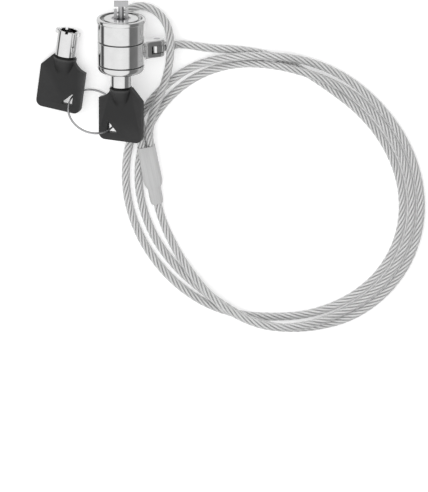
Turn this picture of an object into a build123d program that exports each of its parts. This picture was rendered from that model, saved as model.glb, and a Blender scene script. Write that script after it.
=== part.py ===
from build123d import *

import math
import os

# A cable lock for luggage and laptops: a lock head with a turning T-bar, a swivel ring whose arm
# holds a steel rope, a coil of that rope, a crimped eye that loops round the head, and two
# tubular keys on a split ring.
#
# Millimetres. The origin is the centre of the head's front rim face, on the lock axis.
# +Y runs along the lock axis, out of the front face, and +Z is up. Stations along the lock are
# distances behind the rim face, so a station s is at Y = -s.

# ---------------------------------------------------------------- driving dimensions
AXIS_HEIGHT = 16.3  # lock axis above the table

BODY_RADIUS = 10.8  # lock head
LIP_REACH = 0.5  # how far the front lip stands out
LIP_LENGTH = 1.8
LIP_ROUND = 0.65
RIM_WALL = 1.1  # of the front rim
WEB_FRONT = 2.2  # stations of the front shell's inner web
WEB_REAR = 4.4
SHELL_REAR = 10.65
GROOVE = 0.5  # gap each side of the swivel ring
RING_LENGTH = 10.5
CAP_LENGTH = 3.65
CAP_ROUND = 2.4
RUNNING_GAP = 0.05  # radial clearance of each running fit
END_PLAY = 0.1  # of the spindle
FACE_GAP = 0.02  # between the faces of the shear plane
SLACK = 0.15  # side clearance of loose pieces

RING_WALL = 1.75  # of the shell and the swivel ring, round the barrel
LUG_ROOM = 0.35  # round the lugs of the turning key
BARREL_WALL = 1.8  # the barrel's front wall
WASHER_INSET = 0.5  # how far the washers stay inside the head's outline
WASHER_THICKNESS = 0.4

PLATE_GROOVE = 1.7  # round groove between the face plate and the rim
FACE_PLATE_FRONT = 0.1
GUARD_RADIUS = 4.4
GUARD_FRONT = 0.5
FIN_THICKNESS = 1.4
FIN_HEIGHT = 2.6
FIN_SPACING = 5.2
FIN_REACH = 4.0  # in front of the rim face
FIN_ROOT = 1.2  # how far each fin goes into the collar
GUARD_HOLLOW = (2.6, 1.1)  # radius and depth of the hollow round the stem

T_WIDTH = 6.5
T_LENGTH = 2.2
T_HEIGHT = 2.6
T_TIP = 7.8  # in front of the rim face
STEM_RADIUS = 1.25
SPINDLE_RADIUS = 2.5
SPINDLE_REAR = 9.0
CLIP_RADIUS = 4.2
CLIP_THICKNESS = 0.6
CLIP_GROOVE = 0.6  # depth of the spindle's groove
CLIP_MOUTH = 2.6
THRUST_WASHER = 0.3
ROTOR_SHAFT_RADIUS = 1.5
DRIVE_PIN_RADIUS = 0.5
BLOCK_PIN_RADIUS = 0.8
BLOCK_PIN_COVER = 0.4  # metal left between the block pin and the pin holes
DOWEL_RADIUS = 0.7
DOWEL_LENGTHS = (3.0, 1.2)  # in the barrel and in the cap

BLOCK_FRONT = 9.4  # fixed pin block
ROTOR_FLANGE = 3.6  # length of the plug behind the shear plane
FACE_SETBACK = 0.9  # plug's face in front of the key's rim
POST_GAP = 0.4  # between the post and the key's bore
POST_SETBACK = 0.4  # post's end inside the rear face
POST_ROUND = 0.5
PIN_COUNT = 7
PIN_RADIUS = 0.65
DRIVER_LENGTH = 2.4
SPRING_WALL = 0.2
PIN_HOLE_FRONT = 9.9
KEY_CUTS = (0.5, 1.0, 0.3, 0.8, 0.5, 1.1, 0.7)  # depths, one for each pin
FIRST_PIN_ANGLE = 30.0
CAP_LIP = 2.7  # keyway lip that holds the key's lugs

ARM_DROP = 25.0  # degrees below level
ARM_REACH = 18.0  # lock axis to hinge pin
ARM_WIDTH = 8.4
ARM_DEPTH = 7.2
ARM_ROOT_INSET = 0.15  # of the arm's root inside each end of the ring
ARM_ROOT_DEPTH = 12.5
ARM_FLARE = 3.4
ARM_SINK = 0.4  # how far the wide root goes into the ring
FORK_FLOOR = 0.5  # from the knuckle to the bottom of the fork's slot
HINGE_PIN_RADIUS = 1.3
TONGUE_WIDTH = 3.4
TERMINAL_DROP = 28.0  # degrees below level
TERMINAL_WALL = 0.6  # of the socket round the rope
TERMINAL_START = 4.1  # from the hinge pin
TERMINAL_END = 8.7
TERMINAL_ROUND = 0.4
TERMINAL_NECK = 4.4
TERMINAL_NECK_SINK = 0.8
TONGUE_MARGIN = 0.2  # how much smaller the tongue's end is than the fork's

TUBE_RADIUS = 4.75  # tubular key
TUBE_WALL = 0.9
TUBE_LENGTH = 12.3
TUBE_FLOOR = 1.2
KEY_INSERTION = 5.3
LUG_LENGTH = 2.2
LUG_WIDTH = 2.0
LUG_REACH = (1.3, 1.0)  # how far each lug stands out
TANG_WIDTH = 6.0
TANG_LENGTH = 8.0
TANG_THICKNESS = 1.2
BOW_HALF_WIDTH = 10.8
BOW_LENGTH = 25.8
BOW_THICKNESS = 3.0
BOW_SHOULDER = 6.0
BOW_NECK = 5.4  # half width at the tube, and the neck's radius
BOW_NECK_LENGTH = 3.0
BOW_NECK_TAPER = 3.5
BOW_CORNER = 3.0
BOW_HOLLOW = ((-4.5, -0.9), (-7.0, -4.3))  # start and middle of the hollow left shoulder
HOLE_CORNER = 0.4
HOLE_LONG = 6.6  # distance of the hole's long side from the key's axis
HOLE_SHORT = 1.1
HOLE_TOP = 16.4
HOLE_BOTTOM = 22.3
KEY_ROLL = 25.0  # degrees, right side up
SPARE_FROM_KEY = (-25.6, 11.5)  # from the base of the tube of the key in the lock
SPARE_LEAN = 7.4
SPARE_ROLL = 20.5

RING_RADIUS = 11.6  # split ring, centreline
RING_WIRE = 0.7  # radial
RING_STACK = 1.0  # both turns side by side
RING_EDGE = 0.2
RING_GROOVE = (0.12, 0.2)  # the gap between the turns, wide and deep
RING_FROM_KEY = (-13.1, -13.9, -6.5)
RING_TILT = 47.6  # degrees, far side down
RING_LEAN = -13.5

ROPE_DIAMETER = 4.0
LAYER_GAP = 0.1
SLEEVE_MARGIN = (0.5, 1.2)  # over the width of two ropes and the depth of one
SLEEVE_WALL = 0.35
SLEEVE_LENGTH = 21.5
SLEEVE_TAIL_MARGIN = (2.0, 0.9)
SLEEVE_TAIL_LENGTH = 7.7
SLEEVE_MOUTH = (11.3, -64.0, -9.4)
SLEEVE_TURN = 10.2  # degrees from -Y, seen from above
SLEEVE_PITCH = 7.5  # degrees, mouth end up

COIL_CENTRE = (70.0, -87.0)
COIL_HALF_AXES = (73.0, 64.8)  # outer outline
COIL_WIDTHS = (10.3, 8.3)  # band widths on those axes
COIL_SHIFT = 1.3  # the inner outline sits this far left of the outer one
COIL_TURN = 137.0  # degrees, direction of the longer axis
CROSSINGS = ((66.0, 120.0), (232.0, 292.0))  # where turns lie on each other, degrees

FLOOR = -AXIS_HEIGHT
LIP_RADIUS = BODY_RADIUS + LIP_REACH
RECESS_RADIUS = BODY_RADIUS - RIM_WALL
FACE_PLATE_RADIUS = RECESS_RADIUS - PLATE_GROOVE
BARREL_RADIUS = BODY_RADIUS - RING_WALL
BARREL_BORE = TUBE_RADIUS + LUG_REACH[0] + LUG_ROOM
WASHER_RADIUS = BODY_RADIUS - WASHER_INSET
TUBE_BORE = TUBE_RADIUS - TUBE_WALL
POST_RADIUS = TUBE_BORE - POST_GAP
PIN_CIRCLE = TUBE_RADIUS - TUBE_WALL / 2
ARM_ROOT_WIDTH = RING_LENGTH - 2 * ARM_ROOT_INSET
TERMINAL_RADIUS = ROPE_DIAMETER / 2 + TERMINAL_WALL
SLEEVE_WIDTH = 2 * ROPE_DIAMETER + SLEEVE_MARGIN[0]
SLEEVE_DEPTH = ROPE_DIAMETER + SLEEVE_MARGIN[1]
SLEEVE_TAIL_WIDTH = ROPE_DIAMETER + SLEEVE_TAIL_MARGIN[0]
SLEEVE_TAIL_DEPTH = ROPE_DIAMETER + SLEEVE_TAIL_MARGIN[1]

# stations along the lock
RING_FRONT = SHELL_REAR + GROOVE
RING_REAR = RING_FRONT + RING_LENGTH
CAP_FRONT = RING_REAR + GROOVE
CAP_REAR = CAP_FRONT + CAP_LENGTH
LIP_FRONT = CAP_REAR - CAP_LIP
KEY_END = CAP_REAR - KEY_INSERTION
KEY_BASE = -(KEY_END + TUBE_LENGTH)
ROTOR_FACE = KEY_END - FACE_SETBACK
SHEAR_PLANE = ROTOR_FACE - ROTOR_FLANGE
POST_REAR = CAP_REAR - POST_SETBACK

# ---------------------------------------------------------------- the rope's route where it isn't coiled
LEAD_ROUTE = (
    (26.6, -16.5, -13.1),
    (30.3, -17.1, -14.2),
    (36.5, -18.2, -14.3),
    (44.0, -19.0, -14.3),
    (52.5, -19.2, -14.3),
)
TAIL_ROUTE = (
    (32.1, -126.3, -14.3),
    (25.9, -117.0, -14.3),
    (21.0, -107.0, -14.3),
    (18.2, -99.5, -14.1),
)
EYE_ROUTE = (
    (12.5, -58.9, -8.9),
    (13.3, -53.0, -9.0),
    (15.0, -46.6, -9.3),
    (17.7, -40.2, -9.4),
    (19.9, -33.8, -9.2),
    (21.5, -27.2, -7.9),
    (22.4, -20.4, -5.6),
    (22.7, -13.2, -5.7),
    (21.6, -6.6, -8.6),
    (17.1, -0.8, -12.3),
    (10.1, 1.9, -14.0),
    (3.1, 0.3, -14.3),
    (-1.4, -5.8, -14.3),
    (-2.6, -13.6, -14.3),
    (-2.1, -22.0, -14.3),
    (-0.6, -30.5, -14.3),
    (1.9, -37.9, -14.2),
    (5.2, -43.9, -12.6),
    (8.1, -48.9, -10.3),
    (9.3, -54.2, -9.7),
    (8.8, -60.0, -8.9),
)


# ---------------------------------------------------------------- helpers
def rod(radius, front, rear, x=0.0, z=0.0):
    """A round bar along the lock axis between two stations."""
    middle = -(front + rear) / 2
    return Pos(x, middle, z) * Cylinder(radius, rear - front, rotation=(90, 0, 0))


def tube(radius, bore, front, rear):
    return rod(radius, front, rear) - rod(bore, front, rear)


def block(width, front, rear, height, x=0.0, z=0.0):
    """A bar of rectangular section along the lock axis between two stations."""
    return Pos(x, -(front + rear) / 2, z) * Box(width, rear - front, height)


def round_edges(solid, radius, station, size):
    """Rounds the circular edge of the given size at a station."""
    edges = [
        e
        for e in solid.edges().filter_by(GeomType.CIRCLE)
        if abs(e.center().Y + station) < 0.01 and abs(e.radius - size) < 0.01
    ]
    return fillet(edges, radius)


def pin_places():
    """The pins' places on their circle, as (x, z)."""
    places = []
    for index in range(PIN_COUNT):
        angle = math.radians(FIRST_PIN_ANGLE + index * 360 / PIN_COUNT)
        places.append((PIN_CIRCLE * math.cos(angle), PIN_CIRCLE * math.sin(angle)))
    return places


def slanted(drop_degrees, distance):
    """The point at a distance from the lock axis, down to the right."""
    drop = math.radians(drop_degrees)
    return Vector(distance * math.cos(drop), 0, -distance * math.sin(drop))


def rope_tube(name, points):
    """A round tube along straight runs joined by arcs, each as large as its runs allow."""
    corners = [Vector(*p) for p in points]
    radii = []
    for before, corner, after in zip(corners, corners[1:], corners[2:]):
        turn = math.radians((corner - before).get_angle(after - corner))
        shorter = min((corner - before).length, (after - corner).length)
        radii.append(0.45 * shorter / math.tan(turn / 2))
    path = FilletPolyline(*corners, radius=radii)
    start = Plane(origin=path @ 0, z_dir=path % 0)
    solid = sweep(start * Circle(ROPE_DIAMETER / 2), path=path)
    section = math.pi * (ROPE_DIAMETER / 2) ** 2
    print(f"{name}: length {path.length:.1f}, smallest radius {min(radii):.1f}")
    print(f"  radii {[round(r, 1) for r in radii]}")
    print(f"  volume {solid.volume:.1f}, section times length {section * path.length:.1f}")
    return solid


# ---------------------------------------------------------------- lock head, fixed pieces
def front_shell():
    shell = rod(BODY_RADIUS, 0, SHELL_REAR) + rod(LIP_RADIUS, 0, LIP_LENGTH)
    shell = round_edges(shell, LIP_ROUND, 0, LIP_RADIUS)
    shell -= rod(RECESS_RADIUS, 0, WEB_FRONT)
    shell -= rod(SPINDLE_RADIUS + RUNNING_GAP, 0, WEB_REAR)
    return shell - rod(BARREL_RADIUS, WEB_REAR, SHELL_REAR)


def face_plate():
    return tube(FACE_PLATE_RADIUS, GUARD_RADIUS, FACE_PLATE_FRONT, WEB_FRONT)


def guard_collar():
    """A collar with the two fins that enter the lock slot beside the T-bar."""
    collar = rod(GUARD_RADIUS, GUARD_FRONT, WEB_FRONT)
    collar -= rod(GUARD_HOLLOW[0], GUARD_FRONT, GUARD_FRONT + GUARD_HOLLOW[1])
    rear = GUARD_FRONT + FIN_ROOT
    for side in (-1, 1):
        collar += block(FIN_THICKNESS, -FIN_REACH, rear, FIN_HEIGHT, x=side * FIN_SPACING / 2)
    return collar - rod(STEM_RADIUS + SLACK, -FIN_REACH, WEB_FRONT)


def lock_barrel():
    barrel = rod(BARREL_RADIUS, WEB_REAR, CAP_FRONT)
    barrel -= rod(BARREL_BORE, WEB_REAR + BARREL_WALL, CAP_FRONT)
    barrel -= rod(SPINDLE_RADIUS + RUNNING_GAP, WEB_REAR, WEB_REAR + BARREL_WALL)
    return barrel - block_pin() - cap_dowels()


def pin_block():
    body = rod(BARREL_BORE, BLOCK_FRONT, SHEAR_PLANE)
    body -= rod(ROTOR_SHAFT_RADIUS + RUNNING_GAP, BLOCK_FRONT, SHEAR_PLANE)
    for x, z in pin_places():
        body -= rod(PIN_RADIUS + RUNNING_GAP, PIN_HOLE_FRONT, SHEAR_PLANE, x, z)
    return body - block_pin()


def block_pin():
    """A dowel through the barrel's wall that stops the pin block turning."""
    middle = (BLOCK_FRONT + SHEAR_PLANE) / 2
    reach = BARREL_RADIUS - RUNNING_GAP
    inner = PIN_CIRCLE + PIN_RADIUS + BLOCK_PIN_COVER
    return Pos(0, -middle, -(reach + inner) / 2) * Cylinder(BLOCK_PIN_RADIUS, reach - inner)


def swivel_washers():
    bore = BARREL_RADIUS + RUNNING_GAP
    spare = (GROOVE - WASHER_THICKNESS) / 2
    washers = []
    for front in (SHELL_REAR + spare, RING_REAR + spare):
        washers.append(tube(WASHER_RADIUS, bore, front, front + WASHER_THICKNESS))
    return Compound(children=washers)


def lug_slots(margin, front, rear):
    """The room that the key's two lugs pass through, at the key's own roll."""
    slots = []
    for side, reach in zip((1, -1), LUG_REACH):
        outer = TUBE_RADIUS + reach + margin
        middle = side * outer / 2
        slots.append(block(outer, front, rear, LUG_WIDTH + 2 * margin, x=middle))
    return Rot(0, -KEY_ROLL, 0) * (slots[0] + slots[1])


def rear_cap():
    cap = rod(BODY_RADIUS, CAP_FRONT, CAP_REAR)
    cap = round_edges(cap, CAP_ROUND, CAP_REAR, BODY_RADIUS)
    cap -= rod(BARREL_BORE, CAP_FRONT, LIP_FRONT)
    cap -= rod(TUBE_RADIUS + SLACK, CAP_FRONT, CAP_REAR)
    return cap - lug_slots(SLACK, LIP_FRONT, CAP_REAR) - cap_dowels()


def cap_dowels():
    """Two dowels that hold the rear cap on the barrel."""
    place = (BARREL_RADIUS + BARREL_BORE) / 2
    front, rear = CAP_FRONT - DOWEL_LENGTHS[0], CAP_FRONT + DOWEL_LENGTHS[1]
    dowels = [rod(DOWEL_RADIUS, front, rear, side * place) for side in (-1, 1)]
    return Compound(children=dowels)


# ---------------------------------------------------------------- lock head, turning pieces
CLIP_FRONT = WEB_REAR + BARREL_WALL + THRUST_WASHER + END_PLAY


def spindle():
    """The T-bar, its stem and the shaft behind it."""
    bar = block(T_WIDTH, -T_TIP, T_LENGTH - T_TIP, T_HEIGHT)
    shoulder = WEB_FRONT + END_PLAY
    bar += rod(STEM_RADIUS, T_LENGTH - T_TIP, shoulder)
    bar += rod(SPINDLE_RADIUS, shoulder, SPINDLE_REAR)
    bar -= tube(SPINDLE_RADIUS, SPINDLE_RADIUS - CLIP_GROOVE, CLIP_FRONT, CLIP_FRONT + CLIP_THICKNESS)
    bar -= rod(ROTOR_SHAFT_RADIUS, CLIP_FRONT, SPINDLE_REAR)
    return bar - drive_pin()


def thrust_washer():
    front = WEB_REAR + BARREL_WALL + END_PLAY / 2
    return tube(CLIP_RADIUS, SPINDLE_RADIUS + RUNNING_GAP, front, front + THRUST_WASHER)


def retaining_clip():
    rear = CLIP_FRONT + CLIP_THICKNESS
    clip = tube(CLIP_RADIUS, SPINDLE_RADIUS - CLIP_GROOVE, CLIP_FRONT, rear)
    return clip - block(CLIP_MOUTH, CLIP_FRONT, rear, 2 * CLIP_RADIUS, z=CLIP_RADIUS)


def rotor():
    """The turning plug: a flange with the key pins, the centre post and the shaft to the T-bar."""
    front = SHEAR_PLANE + FACE_GAP
    plug = rod(BARREL_BORE - RUNNING_GAP, front, ROTOR_FACE)
    plug += rod(POST_RADIUS, ROTOR_FACE, POST_REAR)
    plug += rod(ROTOR_SHAFT_RADIUS, CLIP_FRONT, front)
    for x, z in pin_places():
        plug -= rod(PIN_RADIUS + RUNNING_GAP, SHEAR_PLANE, ROTOR_FACE, x, z)
    plug = round_edges(plug, POST_ROUND, POST_REAR, POST_RADIUS)
    return plug - drive_pin()


def drive_pin():
    """A cross pin that ties the rotor's shaft to the T-bar's spindle."""
    station = (CLIP_FRONT + CLIP_THICKNESS + SPINDLE_REAR) / 2
    return Pos(0, -station, 0) * Cylinder(DRIVE_PIN_RADIUS, 2 * (SPINDLE_RADIUS - SLACK))


def key_pins():
    pins = []
    for (x, z), cut in zip(pin_places(), KEY_CUTS):
        pins.append(rod(PIN_RADIUS, SHEAR_PLANE, KEY_END + cut, x, z))
    return Compound(children=pins)


def driver_pins():
    pins = [rod(PIN_RADIUS, SHEAR_PLANE - DRIVER_LENGTH, SHEAR_PLANE, x, z) for x, z in pin_places()]
    return Compound(children=pins)


def pin_springs():
    springs = []
    rear = SHEAR_PLANE - DRIVER_LENGTH
    for x, z in pin_places():
        outer = rod(PIN_RADIUS, PIN_HOLE_FRONT, rear, x, z)
        springs.append(outer - rod(PIN_RADIUS - SPRING_WALL, PIN_HOLE_FRONT, rear, x, z))
    return Compound(children=springs)


# ---------------------------------------------------------------- swivel ring and cable terminal
HINGE = slanted(ARM_DROP, ARM_REACH)
ARM_STATION = (RING_FRONT + RING_REAR) / 2
KNUCKLE_RADIUS = ARM_DEPTH / 2


def along_arm(distance, width, depth):
    """A rectangle across the arm at a distance from the lock axis."""
    centre = slanted(ARM_DROP, distance) + Vector(0, -ARM_STATION, 0)
    across = Plane(origin=centre, x_dir=(0, 1, 0), z_dir=slanted(ARM_DROP, 1))
    return across * Rectangle(width, depth)


def bar_on_hinge(radius, width):
    return Pos(HINGE.X, -ARM_STATION, HINGE.Z) * Cylinder(radius, width, rotation=(90, 0, 0))


def swivel_ring():
    """A ring that turns on the barrel, with a flared arm that ends in a fork."""
    flare_end = BODY_RADIUS + ARM_FLARE
    arm = loft([
        along_arm(BARREL_RADIUS, ARM_ROOT_WIDTH, ARM_ROOT_DEPTH),
        along_arm(BODY_RADIUS - ARM_SINK, ARM_ROOT_WIDTH, ARM_ROOT_DEPTH),
        along_arm(flare_end, ARM_WIDTH, ARM_DEPTH),
    ], ruled=True)
    outward = slanted(ARM_DROP, 1)
    arm += extrude(along_arm(flare_end, ARM_WIDTH, ARM_DEPTH), ARM_REACH - flare_end, dir=outward)
    arm += bar_on_hinge(KNUCKLE_RADIUS, ARM_WIDTH)
    slot_depth = KNUCKLE_RADIUS + FORK_FLOOR
    slot = along_arm(ARM_REACH - slot_depth, TONGUE_WIDTH + 2 * SLACK, 2 * ARM_ROOT_DEPTH)
    arm -= extrude(slot, 2 * slot_depth, dir=outward)
    arm -= bar_on_hinge(HINGE_PIN_RADIUS, ARM_WIDTH)
    ring = rod(BODY_RADIUS, RING_FRONT, RING_REAR) + arm
    return ring - rod(BARREL_RADIUS + RUNNING_GAP, RING_FRONT, RING_REAR)


def hinge_pin():
    return bar_on_hinge(HINGE_PIN_RADIUS, ARM_WIDTH)


def from_hinge(distance):
    return HINGE + Vector(0, -ARM_STATION, 0) + slanted(TERMINAL_DROP, distance)


def cable_terminal():
    """The rope's end fitting: a tongue on the hinge pin and a crimped socket."""
    facing = Plane(origin=from_hinge(TERMINAL_START), z_dir=slanted(TERMINAL_DROP, 1))
    socket = extrude(facing * Circle(TERMINAL_RADIUS), TERMINAL_END - TERMINAL_START)
    socket = fillet(socket.edges().filter_by(GeomType.CIRCLE), TERMINAL_ROUND)
    tongue = bar_on_hinge(KNUCKLE_RADIUS - TONGUE_MARGIN, TONGUE_WIDTH)
    neck_plane = Plane(origin=from_hinge(0), x_dir=(0, 1, 0), z_dir=slanted(TERMINAL_DROP, 1))
    neck = extrude(neck_plane * Rectangle(TONGUE_WIDTH, TERMINAL_NECK), TERMINAL_START + TERMINAL_NECK_SINK)
    return socket + tongue + neck - bar_on_hinge(HINGE_PIN_RADIUS + RUNNING_GAP, ARM_WIDTH)


# ---------------------------------------------------------------- keys
def key_tube():
    """The key's tube in the key's own frame: its base at the origin, its rim towards +Y."""
    barrel = rod(TUBE_RADIUS, -TUBE_LENGTH, 0) - rod(TUBE_BORE, -TUBE_LENGTH, -TUBE_FLOOR)
    for side, reach in zip((1, -1), LUG_REACH):
        inner = (TUBE_RADIUS + TUBE_BORE) / 2
        width = TUBE_RADIUS + reach - inner
        middle = side * (inner + width / 2)
        barrel += block(width, -TUBE_LENGTH, LUG_LENGTH - TUBE_LENGTH, LUG_WIDTH, x=middle)
    for (x, z), cut in zip(pin_places(), KEY_CUTS):
        turn = Rot(0, KEY_ROLL, 0)
        barrel -= turn * rod(PIN_RADIUS + SLACK, -TUBE_LENGTH - 1, cut - TUBE_LENGTH, x, z)
    return barrel + block(TANG_WIDTH, 0, TANG_LENGTH, TANG_THICKNESS)


def bow_outline():
    """The bow seen flat: a chamfered right shoulder and a hollow left one."""
    hollow_start, hollow_middle = BOW_HOLLOW
    hollow_end = (-BOW_HALF_WIDTH, -BOW_SHOULDER)
    neck_left = (hollow_start[0], 0)
    low = -BOW_LENGTH
    with BuildLine() as line:
        Line((BOW_NECK, 0), (BOW_HALF_WIDTH, -BOW_SHOULDER))
        Line((BOW_HALF_WIDTH, -BOW_SHOULDER), (BOW_HALF_WIDTH, low))
        Line((BOW_HALF_WIDTH, low), (-BOW_HALF_WIDTH, low))
        Line((-BOW_HALF_WIDTH, low), hollow_end)
        ThreePointArc(hollow_end, hollow_middle, hollow_start)
        Line(hollow_start, neck_left)
        Line(neck_left, (BOW_NECK, 0))
    face = make_face(line.line)
    corners = [v for v in face.vertices() if v.Y < low + 0.1]
    return fillet(corners, BOW_CORNER)


def bow_hole():
    with BuildLine() as line:
        Polyline(
            (-HOLE_LONG, -HOLE_TOP), (-HOLE_LONG, -HOLE_BOTTOM), (-HOLE_SHORT, -HOLE_BOTTOM), close=True
        )
    face = make_face(line.line)
    return fillet(face.vertices(), HOLE_CORNER)


def key_bow():
    """The moulded bow in the key's own frame, flat in the plane Z = 0."""
    plate = extrude(bow_outline() - bow_hole(), BOW_THICKNESS / 2, both=True)
    neck = rod(BOW_NECK, 0, BOW_NECK_LENGTH)
    taper_middle = -(BOW_NECK_LENGTH + BOW_NECK_TAPER / 2)
    taper = Pos(0, taper_middle, 0) * Cone(
        BOW_NECK, BOW_THICKNESS / 2, BOW_NECK_TAPER, rotation=(90, 0, 0)
    )
    return plate + neck + taper - block(TANG_WIDTH, 0, TANG_LENGTH, TANG_THICKNESS)


def in_lock(piece):
    """Places a piece of the key that is in the lock."""
    return Pos(0, KEY_BASE, 0) * Rot(0, -KEY_ROLL, 0) * piece


def on_table(piece):
    """Places a piece of the spare key, which lies face down on its neck and its left edge."""
    place = Pos(SPARE_FROM_KEY[0], KEY_BASE + SPARE_FROM_KEY[1], FLOOR + BOW_NECK)
    return place * Rot(0, 0, -SPARE_LEAN) * Rot(0, -SPARE_ROLL, 0) * Rot(0, 180, 0) * piece


def split_ring():
    """Two flat turns side by side, with the gap between them as a groove."""
    with BuildSketch(Plane.XZ) as section:
        with Locations((RING_RADIUS, 0)):
            RectangleRounded(RING_WIRE, RING_STACK, RING_EDGE)
        with Locations((RING_RADIUS + RING_WIRE / 2, 0)):
            Rectangle(2 * RING_GROOVE[1], RING_GROOVE[0], mode=Mode.SUBTRACT)
    ring = revolve(section.sketch, Axis.Z)
    centre = Vector(0, KEY_BASE, 0) + Vector(*RING_FROM_KEY)
    return Pos(centre) * Rot(-RING_TILT, 0, 0) * Rot(0, -RING_LEAN, 0) * ring


# ---------------------------------------------------------------- rope, eye and coil
def sleeve_frame():
    """At the sleeve's mouth: x across the two ropes, z along the sleeve, out of the mouth."""
    turn, pitch = math.radians(SLEEVE_TURN), math.radians(SLEEVE_PITCH)
    out = Vector(-math.sin(turn) * math.cos(pitch), math.cos(turn) * math.cos(pitch), math.sin(pitch))
    across = Vector(math.cos(turn), math.sin(turn), 0)
    return Plane(origin=SLEEVE_MOUTH, x_dir=across, z_dir=out)


def in_sleeve(sketch, start, length):
    """Extrudes a section back into the sleeve, from a depth behind its mouth."""
    plane = sleeve_frame().offset(-start)
    return extrude(plane * sketch, -length)


def crimp_ferrule():
    """The oval ferrule crimped on both runs of the rope, inside the sleeve."""
    width, depth = SLEEVE_WIDTH - 2 * SLEEVE_WALL, SLEEVE_DEPTH - 2 * SLEEVE_WALL
    oval = SlotOverall(width, depth)
    return in_sleeve(oval, 0, SLEEVE_LENGTH)


def shrink_sleeve():
    width, depth = SLEEVE_WIDTH - 2 * SLEEVE_WALL, SLEEVE_DEPTH - 2 * SLEEVE_WALL
    wide = in_sleeve(SlotOverall(SLEEVE_WIDTH, SLEEVE_DEPTH) - SlotOverall(width, depth), 0, SLEEVE_LENGTH)
    tail = SlotOverall(SLEEVE_TAIL_WIDTH, SLEEVE_TAIL_DEPTH) - Circle(ROPE_DIAMETER / 2)
    return wide + in_sleeve(tail, SLEEVE_LENGTH, SLEEVE_TAIL_LENGTH)


def rope_points():
    """The lead, tail and eye routes with their ends on the fittings."""
    frame = sleeve_frame()
    beside = frame.x_dir * (ROPE_DIAMETER / 2 + RUNNING_GAP)
    mouth = Vector(*SLEEVE_MOUTH)
    tail_end = mouth - frame.z_dir * SLEEVE_LENGTH
    tail_entry = tail_end - frame.z_dir * SLEEVE_TAIL_LENGTH
    lead = [from_hinge(TERMINAL_END), *LEAD_ROUTE]
    tail = [*TAIL_ROUTE, tail_entry, tail_end]
    eye = [mouth + beside, *EYE_ROUTE, mouth - beside]
    return lead, tail, eye


def cable_coil():
    """The outer shape of the coil: a flat oval band, twice as high where turns cross."""
    def band(height):
        place = Pos(COIL_CENTRE[0], COIL_CENTRE[1], FLOOR)
        outer = Rot(0, 0, COIL_TURN) * Ellipse(*COIL_HALF_AXES)
        inner_axes = [axis - width for axis, width in zip(COIL_HALF_AXES, COIL_WIDTHS)]
        inner = Pos(-COIL_SHIFT, 0) * Rot(0, 0, COIL_TURN) * Ellipse(*inner_axes)
        return place * extrude(outer - inner, height)

    coil = band(ROPE_DIAMETER + LAYER_GAP)
    for start, end in CROSSINGS:
        reach = 1.5 * COIL_HALF_AXES[0]
        a, b = math.radians(start), math.radians(end)
        far_a = (reach * math.cos(a), reach * math.sin(a))
        far_b = (reach * math.cos(b), reach * math.sin(b))
        wedge = make_face(Polyline((0, 0), far_a, far_b, close=True))
        place = Pos(COIL_CENTRE[0], COIL_CENTRE[1], FLOOR)
        coil += band(2 * (ROPE_DIAMETER + LAYER_GAP)) & place * extrude(wedge, 3 * ROPE_DIAMETER)
    return coil


# ---------------------------------------------------------------- all nodes
lead_points, tail_points, eye_points = rope_points()

nodes = {
    "front_shell": front_shell(),
    "face_plate": face_plate(),
    "guard_collar": guard_collar(),
    "lock_barrel": lock_barrel(),
    "pin_block": pin_block(),
    "block_pin": block_pin(),
    "swivel_washers": swivel_washers(),
    "rear_cap": rear_cap(),
    "cap_dowels": cap_dowels(),
    "spindle": spindle(),
    "thrust_washer": thrust_washer(),
    "retaining_clip": retaining_clip(),
    "rotor": rotor(),
    "drive_pin": drive_pin(),
    "key_pins": key_pins(),
    "driver_pins": driver_pins(),
    "pin_springs": pin_springs(),
    "swivel_ring": swivel_ring(),
    "hinge_pin": hinge_pin(),
    "cable_terminal": cable_terminal(),
    "key_tube": in_lock(key_tube()),
    "key_bow": in_lock(key_bow()),
    "spare_key_tube": on_table(key_tube()),
    "spare_key_bow": on_table(key_bow()),
    "split_ring": split_ring(),
    "crimp_ferrule": crimp_ferrule(),
    "shrink_sleeve": shrink_sleeve(),
    "cable_lead": rope_tube("cable_lead", lead_points),
    "cable_tail": rope_tube("cable_tail", tail_points),
    "cable_eye": rope_tube("cable_eye", eye_points),
    "cable_coil": cable_coil(),
}

os.makedirs("parts", exist_ok=True)
for name, piece in nodes.items():
    export_step(piece, f"parts/{name}.step")
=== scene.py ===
import math

import bmesh
import bpy
from mathutils import Matrix, Vector


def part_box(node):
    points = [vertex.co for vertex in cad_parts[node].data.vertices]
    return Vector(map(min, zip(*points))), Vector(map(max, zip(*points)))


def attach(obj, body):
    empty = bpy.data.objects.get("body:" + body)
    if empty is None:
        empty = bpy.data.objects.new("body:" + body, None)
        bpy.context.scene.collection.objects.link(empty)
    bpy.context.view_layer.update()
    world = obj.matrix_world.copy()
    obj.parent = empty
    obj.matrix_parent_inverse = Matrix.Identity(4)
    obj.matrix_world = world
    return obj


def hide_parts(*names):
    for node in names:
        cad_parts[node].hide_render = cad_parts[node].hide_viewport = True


# The looks of a cable lock: chrome lock head on a swivel ring, two tubular keys with moulded bows on
# a split ring, and a coil of jacketed steel rope whose end is crimped into an eye.
# Metres. The origin is the centre of the head's front rim, +Y runs out of the front face along the
# lock axis, and +Z is up. Stations along the lock are distances behind the rim: station s is y = -s.

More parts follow.
